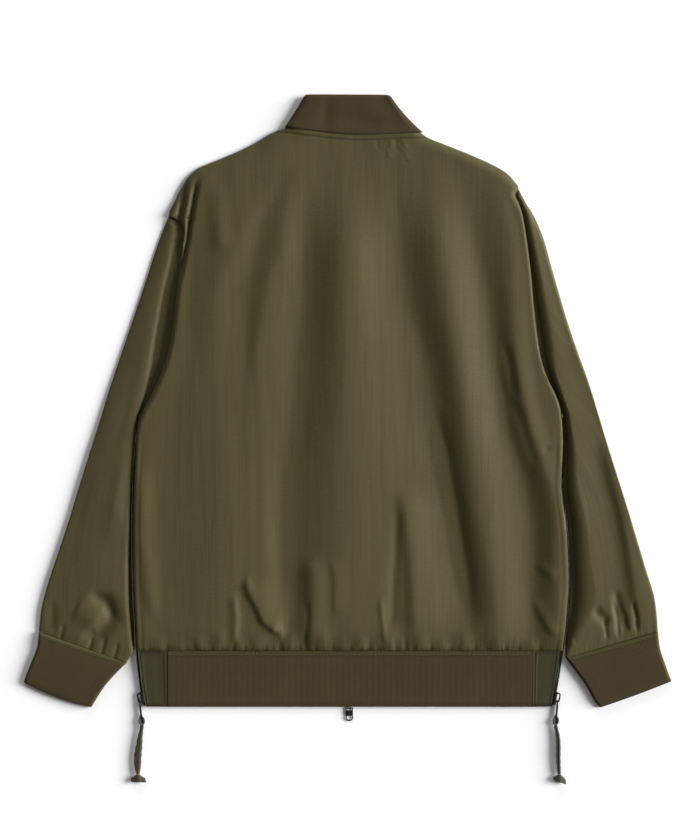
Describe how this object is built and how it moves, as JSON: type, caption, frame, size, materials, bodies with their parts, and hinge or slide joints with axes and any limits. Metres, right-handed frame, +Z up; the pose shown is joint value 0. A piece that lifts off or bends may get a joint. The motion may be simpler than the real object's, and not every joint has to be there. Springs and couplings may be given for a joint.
{
  "type": "bomber jacket",
  "caption": "Bomber jacket laid flat, face down: hollow shell body and sleeves, rib collar, cuffs and hem, closed front and side zips with swinging pulls.",
  "frame": {"origin": "on the surface the jacket lies on, under the middle of its box without the pull cords", "axes": "+Z up, out of the jacket's back; +Y towards the collar; +X towards the wearer's right sleeve"},
  "size_m": [0.8092, 0.8587, 0.02],
  "materials": {
    "shell": "olive nylon shell with a soft sheen",
    "rib": "matt rib knit, a darker olive",
    "zip_tape": "black woven tape with moulded teeth",
    "zip_metal": "black coated metal",
    "cord_cloth": "folded strip of shell cloth"
  },
  "bodies": {
    "jacket": {"back_panel": "shell", "front_left": "shell", "front_right": "shell", "sleeve_left": "shell", "sleeve_right": "shell", "collar": "rib", "cuff_left": "rib", "cuff_right": "rib", "hem_rib_back": "rib", "hem_rib_front_left": "rib", "hem_rib_front_right": "rib", "hem_tab_back_left": "shell", "hem_tab_back_right": "shell", "hem_tab_front_left": "shell", "hem_tab_front_right": "shell", "front_zip": "zip_tape", "side_zip_left": "zip_tape", "side_zip_right": "zip_tape", "front_slider": "zip_metal", "side_slider_left": "zip_metal", "side_slider_right": "zip_metal"},
    "pull_front": {"front_pull": "zip_metal"},
    "pull_left": {"side_pull_left": "zip_metal", "pull_knot_left": "cord_cloth", "pull_cord_left": "cord_cloth", "pull_end_left": "cord_cloth"},
    "pull_right": {"side_pull_right": "zip_metal", "pull_knot_right": "cord_cloth", "pull_cord_right": "cord_cloth", "pull_end_right": "cord_cloth"}
  },
  "joints": [
    {"name": "front_pull_swing", "type": "hinge", "parent": "jacket", "child": "pull_front", "pos_m": [0.002, -0.3756, 0.0013], "axis": [1, 0, 0], "range_deg": [-80, 120]},
    {"name": "left_pull_swing", "type": "hinge", "parent": "jacket", "child": "pull_left", "pos_m": [-0.25977, -0.36495, 0.003], "axis": [0, 0, -1], "range_deg": [-15, 70]},
    {"name": "right_pull_swing", "type": "hinge", "parent": "jacket", "child": "pull_right", "pos_m": [0.26257, -0.36495, 0.003], "axis": [0, 0, 1], "range_deg": [-15, 70]}
  ]
}
